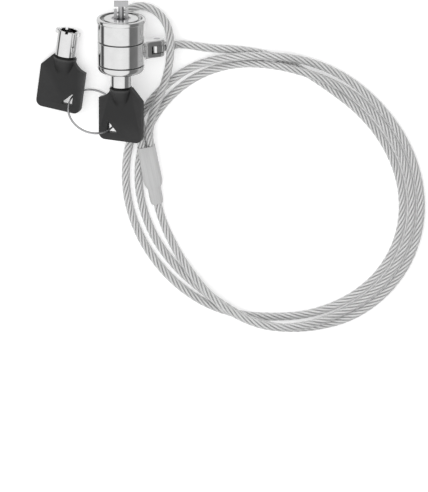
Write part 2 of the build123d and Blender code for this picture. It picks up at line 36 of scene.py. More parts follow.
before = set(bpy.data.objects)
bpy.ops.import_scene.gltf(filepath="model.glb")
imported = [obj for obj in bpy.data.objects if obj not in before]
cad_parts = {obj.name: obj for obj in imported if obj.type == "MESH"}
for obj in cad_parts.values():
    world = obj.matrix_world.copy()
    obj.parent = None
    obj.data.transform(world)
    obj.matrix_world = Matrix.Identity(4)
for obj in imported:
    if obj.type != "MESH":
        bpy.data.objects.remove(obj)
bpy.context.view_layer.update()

# ---------------------------------------------------------------- driving dimensions
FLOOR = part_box("cable_coil")[0].z
RUNNING_GAP = 0.00005  # between pieces that move against each other
CUT_PAST = 0.001  # how far a cut runs past its piece
FLAT_AREA = 0.00002  # larger faces are shaded flat
FINE_TURN = 160  # segments of the largest turned pieces

BODY_RADIUS = 0.0108
LIP_RADIUS = 0.0113
LIP_LENGTH = 0.0018
LIP_SLOPE = 0.0002  # length of the slope behind the lip
RECESS_RADIUS = 0.0097
WEB_FRONT = 0.0022
WEB_REAR = 0.0044
WEB_BORE = 0.00255
BARREL_RADIUS = 0.00905
SHELL_REAR = -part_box("front_shell")[0].y
RING_FRONT = -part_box("swivel_ring")[1].y
RING_REAR = -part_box("swivel_ring")[0].y
CAP_FRONT = -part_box("rear_cap")[1].y
CAP_REAR = -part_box("rear_cap")[0].y
CAP_BORE = 0.0064
CAP_WALL = 0.0027  # of its rear end
CAP_ROUNDING = 0.0026
FACE_PLATE_RADIUS = 0.008
FACE_PLATE_FRONT = 0.0001
GUARD_RADIUS = 0.0044

ARM_DROP = math.radians(25)
ARM_REACH = 0.018
ARM_WIDTH = 0.0084
ARM_DEPTH = 0.0072
ARM_ROOT = (0.0088, 0.0102, 0.0125)  # distance from the axis, width, depth
ARM_FLARE_END = 0.0142  # distance from the axis
ARM_FLARE_CURVE = 2.8
ARM_SQUARENESS = 5.0
FORK_SLOT = 0.0037
FORK_FLOOR = 0.0139  # distance from the axis
HINGE_PIN_RADIUS = 0.0013
TONGUE_WIDTH = 0.0034
TONGUE_DEPTH = 0.0068
# each end of the tongue: where its rounding starts, how far it reaches, share of the depth left at its tip
TONGUE_BACK = (-0.0015, -0.0018, 0.2)
TONGUE_FRONT = (0.0005, 0.0029, 0.4)
TERMINAL_DROP = math.radians(28)
TERMINAL_START = 0.0041
TERMINAL_END = 0.0087
TERMINAL_RADIUS = 0.0026
TERMINAL_NECK = (0.001, 0.0049)  # from and to, along the terminal
TERMINAL_NECK_DEPTH = 0.0044
TERMINAL_RIBS = (  # distance from the socket's start, share of its radius
    (0.0, 0.84), (0.0001, 0.93), (0.0004, 1.0), (0.0010, 1.0), (0.0012, 0.93), (0.0018, 0.93),
    (0.0020, 1.0), (0.0028, 1.0), (0.0030, 0.93), (0.0036, 0.93), (0.0038, 1.0), (0.0042, 1.0),
    (0.0045, 0.93), (0.0046, 0.84),
)

TUBE_RADIUS = 0.00475
TUBE_BORE = 0.00385
TUBE_LENGTH = 0.0123
TUBE_FLOOR = 0.0012
TUBE_CHAMFER = 0.0004
KEY_INSERTION = 0.0053
KEY_SLACK = 0.00015
LUG_WIDTH = 0.002
LUG_LENGTH = 0.0022
LUG_REACH = (0.0013, 0.001)
LUG_INSET = 0.0001
LUG_SLOT_DEPTH = 0.0029
PIN_CIRCLE = 0.0043
PIN_NOTCH = 0.0008  # radius
FIRST_PIN_ANGLE = 30  # degrees
KEY_CUTS = (0.0005, 0.001, 0.0003, 0.0008, 0.0005, 0.0011, 0.0007)
BOW_HALF_WIDTH = 0.0108
BOW_LENGTH = 0.0258
BOW_THICKNESS = 0.003
BOW_SHOULDER = 0.006
BOW_CORNER = 0.003
BOW_EDGE = 0.00045
BOW_NECK = 0.0054  # radius
NECK_LEFT = 0.0045  # the plate's half width at the neck, on its hollow side
NECK_GROOVE = 0.0009  # the neck starts this far behind the tube's base
NECK_EDGE = (0.0003, 0.0002)  # how far its first edge is drawn in, and over what length
NECK_COLLAR = 0.0049  # radius of the collar that shows in the groove
NECK_BLEND = 0.011  # where the neck has run out in the plate
NECK_END = (1.2, 0.96)  # its width and depth there, as shares of the plate's thickness
NECK_TAPER = 0.6  # how much of its way to that width it goes
SHADED_GROOVE = (0.0012, 0.0016)  # how far back shade is painted near black in the groove, and from what height
HOLLOW_START, HOLLOW_MIDDLE = (-NECK_LEFT, -0.0009), (-0.007, -0.0043)
RING_HOLE = ((-0.0066, -0.0164, 0.0004), (-0.0066, -0.0223, 0.0004), (-0.0011, -0.0223, 0.0004))
KEY_ROLL = math.radians(25)
SPARE_COLLAR = (-0.0256, -0.0213)  # base of the spare key's tube
SPARE_LEAN = math.radians(7.4)
SPARE_ROLL = math.radians(20.5)

KEY_RING_RADIUS = 0.0116
KEY_RING_WIRE = (0.0007, 0.00047)  # radial, along the ring's axis
KEY_RING_CENTRE = (-0.0131, -0.0467, -0.0065)
KEY_RING_TILT = math.radians(47.6)
KEY_RING_LEAN = math.radians(-13.5)
KEY_RING_GAP = 0.00006  # between its two turns
KEY_RING_CROSSING = (math.radians(345), math.radians(30))  # where the turns change places, over what angle
KEY_RING_STEPS = 480

ROPE_DIAMETER = 0.004
STRANDS = 6
STRAND_RADIUS = 0.00062
STRAND_CIRCLE = 0.00125
ROPE_LAY = 0.021
STRAND_STEP = 0.0008
JACKET_STEP = 0.0015
WIRE_PITCH = 0.0016
WIRE_SLANT = 3.6  # how many wires cross a strand
SLEEVE_MOUTH = Vector((0.0113, -0.064, -0.0094))
SLEEVE_TURN = math.radians(10.2)
SLEEVE_PITCH = math.radians(7.5)
SLEEVE_WALL = 0.00035
SLEEVE_SQUARENESS = 2.6
FERRULE_INSET = 0.0006
FERRULE_LENGTH = 0.0195
FERRULE_WIDTH, FERRULE_DEPTH = 0.0077, 0.0044
FERRULE_ROUNDING = 0.0012
FERRULE_CRIMPS = 4

# ---------------------------------------------------------------- the rope's route
LEAD_ROUTE = (
    (0.0266, -0.0165, -0.0131),
    (0.0303, -0.0171, -0.0142),
    (0.0365, -0.0182, -0.0143),
    (0.0440, -0.0190, -0.0143),
    (0.0525, -0.0192, -0.0143),
)
TAIL_ROUTE = (
    (0.0321, -0.1263, -0.0116),
    (0.0259, -0.1170, -0.0141),
    (0.0210, -0.1070, -0.0143),
    (0.0182, -0.0995, -0.0141),
)
EYE_ROUTE = (
    (0.0125, -0.0589, -0.0089),
    (0.0133, -0.0530, -0.0090),
    (0.0150, -0.0466, -0.0093),
    (0.0177, -0.0402, -0.0094),
    (0.0199, -0.0338, -0.0092),
    (0.0215, -0.0272, -0.0079),
    (0.0224, -0.0204, -0.0056),
    (0.0227, -0.0132, -0.0057),
    (0.0216, -0.0066, -0.0086),
    (0.0171, -0.0008, -0.0123),
    (0.0101, 0.0019, -0.0140),
    (0.0031, 0.0003, -0.0143),
    (-0.0014, -0.0058, -0.0143),
    (-0.0026, -0.0136, -0.0143),
    (-0.0021, -0.0220, -0.0143),
    (-0.0006, -0.0305, -0.0143),
    (0.0019, -0.0379, -0.0142),
    (0.0052, -0.0439, -0.0126),
    (0.0081, -0.0489, -0.0103),
    (0.0093, -0.0542, -0.0097),
    (0.0088, -0.0600, -0.0089),
)
# the two ropes inside the sleeve: depth behind its mouth, how far beside its middle
TAIL_IN_SLEEVE = ((0.0292, 0), (0.0215, 0.1), (0.013, 1), (0.004, 1))
END_IN_SLEEVE = ((0.0, -1), (0.006, -1), (0.016, -1))
COIL_CENTRE = (0.070, -0.087)
COIL_RADIUS = 0.06685  # mean radius of the outermost turn's centreline
COIL_SWELL = 0.0041  # how much longer and shorter its two axes are
COIL_TURN = 137  # degrees, direction of the longer axis
COIL_STEP = 15  # degrees between the route's points
COIL_START, COIL_END = 90, -840  # degrees; the rope winds clockwise
# how far each stretch lies inside the outermost turn: angle in degrees, millimetres
TURN_INSETS = (
    (105, 0.0), (90, 2.2), (75, 6.5), (60, 8.5), (-60, 8.3), (-75, 7.4), (-90, 6.2), (-105, 3.2), (-120, 0.8),
    (-135, -0.2), (-150, -0.5), (-210, -0.5), (-225, 0.0), (-240, 0.0), (-255, 1.2), (-270, 1.2), (-300, 0.0),
    (-420, 0.0), (-435, 1.3), (-450, 2.3), (-465, 4.2), (-480, 5.4), (-510, 5.2), (-540, 5.4), (-570, 5.4),
    (-600, 5.2), (-630, 5.4), (-645, 5.4), (-675, 4.1), (-780, 4.1), (-795, 3.7), (-810, 3.2), (-825, 4.2),
    (-840, 5.9),
)
# how high it is raised to cross the turns below, in the same units
TURN_LIFTS = (
    (105, 0.0), (-225, 0.0), (-240, 0.8), (-255, 4.15), (-270, 4.15), (-285, 0.8), (-300, 0.0), (-420, 0.0),
    (-435, 1.2), (-450, 4.15), (-465, 4.15), (-480, 1.2), (-495, 0.0), (-600, 0.0), (-615, 1.2),
    (-630, 4.15), (-645, 4.15), (-660, 1.0), (-675, 0.0), (-780, 0.4), (-795, 4.6), (-810, 8.1),
    (-825, 7.4), (-840, 4.6),
)


# ---------------------------------------------------------------- mesh helpers
def new_object(name, mesh):
    thing = bpy.data.objects.new(name, mesh)
    bpy.context.scene.collection.objects.link(thing)
    return thing


def from_bmesh(name, shape):
    bmesh.ops.remove_doubles(shape, verts=shape.verts, dist=1e-7)
    bmesh.ops.recalc_face_normals(shape, faces=shape.faces)
    mesh = bpy.data.meshes.new(name)
    shape.to_mesh(mesh)
    shape.free()
    return new_object(name, mesh)


def plain_mesh(thing):
    """Turns an object with modifiers into a plain mesh."""
    graph = bpy.context.evaluated_depsgraph_get()
    mesh = bpy.data.meshes.new_from_object(thing.evaluated_get(graph))
    thing.modifiers.clear()
    thing.data = mesh
    return thing


def combine(thing, others, operation):
    """Joins or cuts other closed meshes into or out of one, and removes them."""
    for other in others:
        modifier = thing.modifiers.new("combine", "BOOLEAN")
        modifier.operation = operation
        modifier.solver = "EXACT"
        modifier.object = other
        plain_mesh(thing)
        bpy.data.objects.remove(other)
    return thing


def soften(thing, width=0.0, segments=3, angle=35):
    """Bevels the sharp edges, and shades the rest smooth with flat faces kept flat."""
    if width:
        modifier = thing.modifiers.new("edges", "BEVEL")
        modifier.width = width
        modifier.segments = segments
        modifier.limit_method = "ANGLE"
        modifier.angle_limit = math.radians(angle)
        modifier.miter_outer = "MITER_ARC"
        plain_mesh(thing)
    thing.data.shade_smooth()
    thing.data.set_sharp_from_angle(angle=math.radians(angle))
    border = set()
    for face in thing.data.polygons:
        if face.area > FLAT_AREA:
            border.update(face.edge_keys)
    for edge in thing.data.edges:
        if edge.key in border:
            edge.use_edge_sharp = True
    modifier = thing.modifiers.new("normals", "WEIGHTED_NORMAL")
    modifier.keep_sharp = True
    return plain_mesh(thing)


def rounded(corners, steps=5):
    """A closed outline in which each corner (a, b, radius) is an arc."""
    points = []
    for i, (a, b, radius) in enumerate(corners):
        corner = Vector((a, b))
        before = (Vector(corners[i - 1][:2]) - corner).normalized()
        after = (Vector(corners[(i + 1) % len(corners)][:2]) - corner).normalized()
        if radius == 0:
            points.append(corner)
            continue
        half = before.angle(after) / 2
        centre = corner + (before + after).normalized() * radius / math.sin(half)
        start = corner + before * radius / math.tan(half) - centre
        end = corner + after * radius / math.tan(half) - centre
        first = math.atan2(start.y, start.x)
        sweep = math.remainder(math.atan2(end.y, end.x) - first, math.tau)
        for k in range(steps + 1):
            turn = first + sweep * k / steps
            points.append(centre + radius * Vector((math.cos(turn), math.sin(turn))))
    return points


def turned(name, corners, segments=128, steps=5):
    """A shape turned about the lock axis from a closed outline of (station, radius, rounding)."""
    outline = rounded(corners, steps)
    shape = bmesh.new()
    rings = []
    for k in range(segments):
        turn = math.tau * k / segments
        c, s = math.cos(turn), math.sin(turn)
        rings.append([shape.verts.new((max(p.y, 0) * c, -p.x, max(p.y, 0) * s)) for p in outline])
    for k in range(segments):
        ring, after = rings[k], rings[(k + 1) % segments]
        for i in range(len(outline)):
            j = (i + 1) % len(outline)
            if outline[i].y <= 0 and outline[j].y <= 0:
                continue
            shape.faces.new((ring[i], ring[j], after[j], after[i]))
    return from_bmesh(name, shape)


def lofted(name, sections, capped=True):
    """A skin through closed sections with equal counts of points."""
    shape = bmesh.new()
    rings = [[shape.verts.new(p) for p in section] for section in sections]
    for ring, after in zip(rings, rings[1:]):
        for i in range(len(ring)):
            j = (i + 1) % len(ring)
            shape.faces.new((ring[i], ring[j], after[j], after[i]))
    if capped:
        shape.faces.new(list(reversed(rings[0])))
        shape.faces.new(rings[-1])
    return from_bmesh(name, shape)


def oval(centre, across, up, width, depth, power=2.0, count=48):
    """Points of a superellipse; a power of 2 is an ellipse, and a higher one is squarer."""
    points = []
    for k in range(count):
        turn = math.tau * k / count
        c, s = math.cos(turn), math.sin(turn)
        a = math.copysign(abs(c) ** (2 / power), c) * width / 2
        b = math.copysign(abs(s) ** (2 / power), s) * depth / 2
        points.append(centre + across * a + up * b)
    return points


def brick(name, low, high):
    """A block between two corners."""
    shape = bmesh.new()
    bmesh.ops.create_cube(shape, size=1)
    low, high = Vector(low), Vector(high)
    for vertex in shape.verts:
        vertex.co = [low[i] + (vertex.co[i] + 0.5) * (high[i] - low[i]) for i in range(3)]
    return from_bmesh(name, shape)


def cylinder(name, radius, start, end, segments=48):
    """A round bar between two points."""
    start, end = Vector(start), Vector(end)
    turn = (end - start).to_track_quat("Z", "Y")
    across, up = turn @ Vector((1, 0, 0)), turn @ Vector((0, 1, 0))
    sections = [oval(p, across, up, 2 * radius, 2 * radius, count=segments) for p in (start, end)]
    return lofted(name, sections)


def prism(name, outline, low, high):
    """An outline in the XY plane pulled up between two heights."""
    shape = bmesh.new()
    rings = [[shape.verts.new((p.x, p.y, z)) for p in outline] for z in (low, high)]
    shape.faces.new(list(reversed(rings[0])))
    shape.faces.new(rings[1])
    for i in range(len(outline)):
        j = (i + 1) % len(outline)
        shape.faces.new((rings[0][i], rings[0][j], rings[1][j], rings[1][i]))
    return from_bmesh(name, shape)


def placed(thing, matrix):
    thing.data.transform(matrix)
    return thing


def copied(thing, name):
    return new_object(name, thing.data.copy())


def cad_copy(node, name, width):
    """A copy of a CAD node as one skin, with softened edges."""
    shape = bmesh.new()
    shape.from_mesh(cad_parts[node].data)
    bmesh.ops.remove_doubles(shape, verts=shape.verts, dist=2e-6)
    bmesh.ops.dissolve_limit(shape, angle_limit=math.radians(1), verts=shape.verts, edges=shape.edges)
    return soften(from_bmesh(name, shape), width, segments=2)


def show(thing, body, material, slot, *nodes):
    """Paints a piece, puts it on its body and lets it stand for its CAD nodes."""
    thing.data.materials.clear()
    thing.data.materials.append(material)
    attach(thing, body)
    if nodes:
        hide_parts(*nodes)
    return thing


# ---------------------------------------------------------------- node helpers
class Graph:
    """A node tree, with short ways to add nodes and links."""

    def __init__(self, tree):
        self.tree = tree

    def add(self, kind, inputs=None, **settings):
        node = self.tree.nodes.new(kind)
        for name, value in settings.items():
            setattr(node, name, value)
        for name, value in (inputs or {}).items():
            self.feed(node.inputs[name], value)
        return node

    def feed(self, socket, value):
        if isinstance(value, bpy.types.NodeSocket):
            self.tree.links.new(value, socket)
        else:
            socket.default_value = value

    def math(self, operation, a, b=0.0, clamp=False):
        return self.add("ShaderNodeMath", {0: a, 1: b}, operation=operation, use_clamp=clamp).outputs[0]

    def ramp(self, value, stops):
        """A colour ramp of (position, grey or colour)."""
        node = self.add("ShaderNodeValToRGB", {"Fac": value})
        elements = node.color_ramp.elements
        while len(elements) < len(stops):
            elements.new(1.0)
        for element, (position, colour) in zip(elements, stops):
            element.position = position
            element.color = (*colour, 1) if isinstance(colour, tuple) else (colour, colour, colour, 1)
        return node.outputs["Color"]

    def spread(self, value, low, high):
        """Maps 0..1 to low..high."""
        return self.add("ShaderNodeMapRange", {"Value": value, "To Min": low, "To Max": high}).outputs[0]


def group_of(kind, name, inputs, outputs):
    """A node group with named sockets: (name, type, default)."""
    tree = bpy.data.node_groups.new(name, kind)
    sockets = {}
    for in_out, listed in (("INPUT", inputs), ("OUTPUT", outputs)):
        for title, socket_type, *default in listed:
            socket = tree.interface.new_socket(name=title, in_out=in_out, socket_type=socket_type)
            if default:
                socket.default_value = default[0]
            sockets[title] = socket.identifier
    graph = Graph(tree)
    graph.entry = graph.add("NodeGroupInput").outputs
    graph.exit = graph.add("NodeGroupOutput").inputs
    graph.identifiers = sockets
    return graph


# ---------------------------------------------------------------- shared surface effects
FLOAT, WHOLE, MATERIAL, GEOMETRY = (f"NodeSocket{kind}" for kind in ("Float", "Int", "Material", "Geometry"))


def handling_marks():
    """Faint smears and short fine scratches, as masks, and their height."""
    g = group_of(
        "ShaderNodeTree", "handling_marks",
        [("Smear Scale", FLOAT, 220.0), ("Scratch Scale", FLOAT, 900.0)],
        [("Smears", FLOAT), ("Scratches", FLOAT)],
    )
    place = g.add("ShaderNodeTexCoord").outputs["Object"]
    smears = g.add("ShaderNodeTexNoise", {"Vector": place, "Scale": g.entry["Smear Scale"], "Detail": 4.0})
    stretched = {"Vector": place, "Rotation": (0.5, 0.9, 0.3), "Scale": (1.0, 0.06, 1.0)}
    lines = g.add("ShaderNodeMapping", stretched).outputs[0]
    scratches = g.add("ShaderNodeTexNoise", {"Vector": lines, "Scale": g.entry["Scratch Scale"]})
    g.feed(g.exit["Smears"], smears.outputs[0])
    fine = g.add("ShaderNodeMapRange", {"Value": scratches.outputs[0], "From Min": 0.62, "From Max": 0.72})
    g.feed(g.exit["Scratches"], fine.outputs[0])
    return g.tree


def moulded_grain():
    """The fine texture of a moulded face."""
    g = group_of(
        "ShaderNodeTree", "moulded_grain",
        [("Scale", FLOAT, 3000.0)],
        [("Height", FLOAT), ("Patches", FLOAT)],
    )
    place = g.add("ShaderNodeTexCoord").outputs["Object"]
    fine = g.add("ShaderNodeTexNoise", {"Vector": place, "Scale": g.entry["Scale"], "Detail": 3.0})
    patches = g.add("ShaderNodeTexNoise", {"Vector": place, "Scale": 140.0, "Detail": 2.0})
    g.feed(g.exit["Height"], fine.outputs[0])
    g.feed(g.exit["Patches"], patches.outputs[0])
    return g.tree


def edge_wear():
    """Where a convex edge has been rubbed: 1 on edges, broken up by noise."""
    g = group_of("ShaderNodeTree", "edge_wear", [("Amount", FLOAT, 1.0)], [("Mask", FLOAT)])
    convex = g.add("ShaderNodeNewGeometry").outputs["Pointiness"]
    edges = g.add("ShaderNodeMapRange", {"Value": convex, "From Min": 0.505, "From Max": 0.56})
    place = g.add("ShaderNodeTexCoord").outputs["Object"]
    noise = g.add("ShaderNodeTexNoise", {"Vector": place, "Scale": 700.0, "Detail": 4.0})
    broken = g.math("MULTIPLY", edges.outputs[0], g.spread(noise.outputs[0], 0.2, 1.3))
    g.feed(g.exit["Mask"], g.math("MULTIPLY", broken, g.entry["Amount"], clamp=True))
    return g.tree


def turning_marks():
    """Fine rings left by a lathe about the lock axis."""
    g = group_of("ShaderNodeTree", "turning_marks", [("Pitch", FLOAT, 0.00012)], [("Height", FLOAT)])
    place = g.add("ShaderNodeSeparateXYZ", {"Vector": g.add("ShaderNodeTexCoord").outputs["Object"]}).outputs
    radius = g.math("SQRT", g.math("ADD", g.math("POWER", place[0], 2.0), g.math("POWER", place[2], 2.0)))
    rings = g.math("DIVIDE", g.math("ADD", radius, place[1]), g.entry["Pitch"])
    g.feed(g.exit["Height"], g.math("SINE", g.math("MULTIPLY", rings, math.tau)))
    return g.tree


MARKS, GRAIN, WEAR, RINGS = handling_marks(), moulded_grain(), edge_wear(), turning_marks()


def surface(name, colour, roughness, metallic=0.0, **plain):
    """A Principled material and its graph, with plain numbers set on the shader's own sockets."""
    material = bpy.data.materials.new(name)
    material.use_nodes = True
    g = Graph(material.node_tree)
    shader = material.node_tree.nodes["Principled BSDF"]
    shader.inputs["Base Color"].default_value = (*colour, 1)
    shader.inputs["Roughness"].default_value = roughness
    shader.inputs["Metallic"].default_value = metallic
    for socket, value in plain.items():
        shader.inputs[socket.replace("_", " ")].default_value = value
    return material, g, shader.inputs


def bump(g, sockets, height, distance, strength):
    """Relief of a height in metres, on the shader's normal."""
    node = g.add("ShaderNodeBump", {"Height": height, "Distance": distance, "Strength": strength})
    g.feed(sockets["Normal"], node.outputs["Normal"])


def chrome_plate():
    """Bright chrome, with faint smears and scratches."""
    material, g, sockets = surface("chrome_plate", (0.82, 0.82, 0.83), 0.07, 1.0)
    marks = g.add("ShaderNodeGroup", node_tree=MARKS).outputs
    smeared = g.spread(marks["Smears"], 0.035, 0.12)
    g.feed(sockets["Roughness"], g.math("ADD", smeared, g.math("MULTIPLY", marks["Scratches"], 0.1)))
    g.feed(sockets["Base Color"], g.ramp(marks["Smears"], ((0.3, 0.80), (0.7, 0.86))))
    bump(g, sockets, g.math("SUBTRACT", marks["Smears"], marks["Scratches"]), 0.000004, 0.25)
    return material


def machined(name, colour, roughness):
    """Bare metal from the lathe, with its fine rings and some smears."""
    material, g, sockets = surface(name, colour, roughness, 1.0)
    marks = g.add("ShaderNodeGroup", node_tree=MARKS).outputs
    rings = g.add("ShaderNodeGroup", node_tree=RINGS).outputs["Height"]
    g.feed(sockets["Roughness"], g.spread(marks["Smears"], roughness - 0.08, roughness + 0.12))
    dark, light = (tuple(c * k for c in colour) for k in (0.85, 1.08))
    g.feed(sockets["Base Color"], g.ramp(marks["Smears"], ((0.3, dark), (0.7, light))))
    bump(g, sockets, rings, 0.000006, 0.3)
    return material


def moulded(name, colour, worn, roughness, grain):
    """Moulded plastic: fine grain, patches of shine and rubbed edges, and painted shade: near black where a
    mesh marks its groove.
    """
    material, g, sockets = surface(name, colour, roughness, Specular_IOR_Level=0.35)
    texture = g.add("ShaderNodeGroup", {"Scale": grain}, node_tree=GRAIN).outputs
    wear = g.add("ShaderNodeGroup", {"Amount": 0.8}, node_tree=WEAR).outputs["Mask"]
    mix = g.add("ShaderNodeMix", {"Factor": wear}, data_type="RGBA")
    patchy = g.ramp(texture["Patches"], ((0.3, colour), (0.75, tuple(c * 1.25 for c in colour))))
    g.feed(mix.inputs["A"], patchy)
    g.feed(mix.inputs["B"], (*worn, 1))
    # painted shade: where the mesh marks the groove, the colour goes near black for the shade that falls in
    # it
    groove_painted_shade = g.add("ShaderNodeAttribute", attribute_name="groove_painted_shade").outputs["Fac"]
    shaded = g.add("ShaderNodeMix", {"Factor": groove_painted_shade}, data_type="RGBA")
    g.feed(shaded.inputs["A"], mix.outputs["Result"])
    g.feed(shaded.inputs["B"], (0.002, 0.002, 0.002, 1))
    g.feed(sockets["Base Color"], shaded.outputs["Result"])
    g.feed(sockets["Roughness"], g.spread(texture["Patches"], roughness - 0.07, roughness + 0.07))
    bump(g, sockets, texture["Height"], 0.00003, 0.35)
    return material


def shrunk_sleeve():
    """Grey shrink tube, with long faint folds whose hollows are painted darker as shade, and a little light
    inside it.
    """
    material, g, sockets = surface(
        "shrunk_sleeve", (0.5, 0.5, 0.5), 0.5, Subsurface_Weight=0.15, Subsurface_Scale=0.0008,
    )
    sockets["Subsurface Radius"].default_value = (1, 1, 1)
    along = g.add("ShaderNodeAttribute", attribute_name="along").outputs["Fac"]
    around = g.add("ShaderNodeAttribute", attribute_name="around").outputs["Fac"]
    stretched = {0: g.math("MULTIPLY", along, 40.0), 1: g.math("MULTIPLY", around, 9.0)}
    place = g.add("ShaderNodeCombineXYZ", stretched)
    folds = g.add("ShaderNodeTexNoise", {"Vector": place.outputs[0], "Scale": 1.0, "Detail": 3.0}).outputs[0]
    texture = g.add("ShaderNodeGroup", {"Scale": 2500.0}, node_tree=GRAIN).outputs
    # painted shade: the colour follows the folds' height, darker in their hollows and lighter on their ridges
    g.feed(sockets["Base Color"], g.ramp(folds, ((0.3, 0.46), (0.7, 0.56))))
    g.feed(sockets["Roughness"], g.spread(texture["Patches"], 0.42, 0.6))
    height = g.math("ADD", g.math("MULTIPLY", folds, 4.0), g.math("MULTIPLY", texture["Height"], 0.25))
    bump(g, sockets, height, 0.00008, 0.5)
    return material


def strand_steel():
    """Galvanised wire: each strand's own wires cross its lay, with painted shade between the wires, and the
    valleys between strands are darker with painted shade and dirt.
    """
    material, g, sockets = surface("strand_steel", (0.7, 0.7, 0.7), 0.3, 0.55)
    turn = g.add("ShaderNodeAttribute", attribute_name="strand_turn").outputs["Fac"]
    along = g.add("ShaderNodeAttribute", attribute_name="rope_length").outputs["Fac"]
    across = g.math("SUBTRACT", g.math("FRACT", g.math("MULTIPLY", turn, float(STRANDS))), 0.5)
    wires = g.math("ADD", g.math("MULTIPLY", across, WIRE_SLANT), g.math("DIVIDE", along, WIRE_PITCH))
    wave = g.math("SINE", g.math("MULTIPLY", wires, math.tau))
    # painted shade and dirt: the colour goes towards black in the valleys between strands
    valley_shade_and_dirt = g.math("POWER", g.math("MULTIPLY", g.math("ABSOLUTE", across), 2.0), 3.0)
    strand = g.math("FLOOR", g.math("MULTIPLY", turn, float(STRANDS)))
    cell = g.add("ShaderNodeTexWhiteNoise", {"W": strand}, noise_dimensions="1D").outputs["Value"]
    # painted shade: lighter on each wire's crown and darker between wires
    light = g.math("ADD", g.spread(wave, 0.64, 0.90), g.math("MULTIPLY", cell, 0.08))
    shade = g.math("MULTIPLY", light, g.spread(valley_shade_and_dirt, 1.0, 0.12))
    g.feed(sockets["Base Color"], g.add("ShaderNodeCombineColor", {0: shade, 1: shade, 2: shade}).outputs[0])
    g.feed(sockets["Roughness"], g.spread(cell, 0.28, 0.4))
    bump(g, sockets, wave, 0.00005, 0.7)
    return material


def clear_jacket():
    """The thin clear plastic over the strands."""
    material, g, sockets = surface("clear_jacket", (0.95, 0.95, 0.95), 0.12, Alpha=0.12)
    marks = g.add("ShaderNodeGroup", {"Smear Scale": 500.0}, node_tree=MARKS).outputs
    g.feed(sockets["Roughness"], g.spread(marks["Smears"], 0.06, 0.2))
    bump(g, sockets, marks["Smears"], 0.00002, 0.3)
    return material


CHROME = chrome_plate()
STEEL = machined("machined_steel", (0.55, 0.55, 0.56), 0.28)
BRASS = machined("machined_brass", (0.70, 0.55, 0.26), 0.25)
FERRULE = machined("crimped_aluminium", (0.62, 0.62, 0.63), 0.35)
SPRING_WIRE = machined("spring_wire", (0.56, 0.56, 0.57), 0.22)
NYLON = moulded("black_nylon", (0.03, 0.03, 0.03), (0.06, 0.06, 0.06), 0.5, 2500.0)
BOW_PLASTIC = moulded("bow_plastic", (0.014, 0.014, 0.0143), (0.08, 0.08, 0.08), 0.45, 3200.0)
SLEEVE = shrunk_sleeve()
STRAND = strand_steel()
JACKET = clear_jacket()


# ---------------------------------------------------------------- the rope
def slanted(distance, drop):
    return Vector((distance * math.cos(drop), 0, -distance * math.sin(drop)))


ARM_STATION = (RING_FRONT + RING_REAR) / 2
HINGE = slanted(ARM_REACH, ARM_DROP) + Vector((0, -ARM_STATION, 0))
ROPE_START = HINGE + slanted(TERMINAL_END, TERMINAL_DROP)
SLEEVE_OUT = Vector((
    -math.sin(SLEEVE_TURN) * math.cos(SLEEVE_PITCH),
    math.cos(SLEEVE_TURN) * math.cos(SLEEVE_PITCH),
    math.sin(SLEEVE_PITCH),
))
SLEEVE_ACROSS = Vector((math.cos(SLEEVE_TURN), math.sin(SLEEVE_TURN), 0))
SLEEVE_UP = SLEEVE_ACROSS.cross(SLEEVE_OUT)


def keyed(angle, keys):
    """The value at an angle, straight between the keys on each side of it."""
    for (a, low), (b, high) in zip(keys, keys[1:]):
        if b <= angle <= a:
            return low + (high - low) * (a - angle) / (a - b)
    return keys[-1][1]


def coil_points():
    """The coil's turns, wound clockwise, each point a little outside the smooth line through it."""
    points = []
    widen = 1 / math.cos(math.radians(COIL_STEP / 2))
    for angle in range(COIL_START, COIL_END - 1, -COIL_STEP):
        outermost = COIL_RADIUS + COIL_SWELL * math.cos(math.radians(2 * (angle - COIL_TURN)))
        radius = (outermost - keyed(angle, TURN_INSETS) / 1000) * widen
        turn = math.radians(angle)
        height = FLOOR + ROPE_DIAMETER / 2 + keyed(angle, TURN_LIFTS) / 1000
        x, y = COIL_CENTRE[0] + radius * math.cos(turn), COIL_CENTRE[1] + radius * math.sin(turn)
        points.append((x, y, height))
    return points


def in_ferrule(depth, side):
    """A point of the rope inside the sleeve, at a depth behind its mouth."""
    beside = side * (ROPE_DIAMETER / 2 + RUNNING_GAP)
    return tuple(SLEEVE_MOUTH - SLEEVE_OUT * depth + SLEEVE_ACROSS * beside)


def rope_spline():
    """One smooth line through the whole rope, from the terminal to its crimped end."""
    points = [tuple(ROPE_START), *LEAD_ROUTE, *coil_points(), *TAIL_ROUTE]
    points += [in_ferrule(depth, side) for depth, side in TAIL_IN_SLEEVE]
    points += [*EYE_ROUTE]
    points += [in_ferrule(depth, side) for depth, side in END_IN_SLEEVE]
    curve = bpy.data.curves.new("rope_route", "CURVE")
    curve.dimensions = "3D"
    curve.resolution_u = 24
    spline = curve.splines.new("NURBS")
    spline.points.add(len(points) - 1)
    for control, point in zip(spline.points, points):
        control.co = (*point, 1)
    spline.order_u = 3
    spline.use_endpoint_u = True
    route = new_object("rope_route", curve)
    graph = bpy.context.evaluated_depsgraph_get()
    line = bpy.data.meshes.new_from_object(route.evaluated_get(graph))
    bpy.data.objects.remove(route)
    return line


def along_line(name, line, group, values):
    """Runs a Geometry Nodes tree on a line and keeps the result as a plain mesh."""
    thing = new_object(name, line.copy())
    modifier = thing.modifiers.new(name, "NODES")
    modifier.node_group = group.tree
    for title, value in values.items():
        modifier[group.identifiers[title]] = value
    return plain_mesh(thing)


